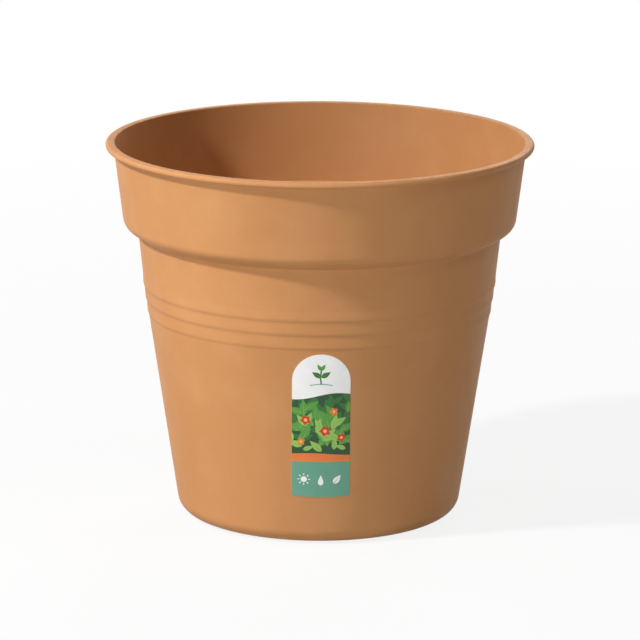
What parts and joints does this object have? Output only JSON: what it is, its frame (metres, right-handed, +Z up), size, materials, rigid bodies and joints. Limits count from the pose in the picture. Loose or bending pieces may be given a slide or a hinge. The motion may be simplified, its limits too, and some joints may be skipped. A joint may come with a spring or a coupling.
{
  "type": "plastic seedling pot",
  "caption": "Round tapered plastic plant pot with a tall collar, rolled lip, beaded band and raised floor with drain holes, for raising seedlings; a film label is stuck on its front.",
  "frame": {"origin": "centre of the foot ring, on the plane the pot stands on", "axes": "+Z up along the pot's axis; -Y towards the front, where the label is; +X to the right of someone who looks at the label"},
  "size_m": [0.24, 0.24, 0.2124],
  "materials": {
    "terracotta_plastic": "satin injection-moulded polypropylene in a light terracotta colour",
    "label_film": "glossy printed film, white with green, red, orange and teal print"
  },
  "bodies": {
    "root": {"pot": "terracotta_plastic", "label": "label_film"}
  },
  "joints": []
}
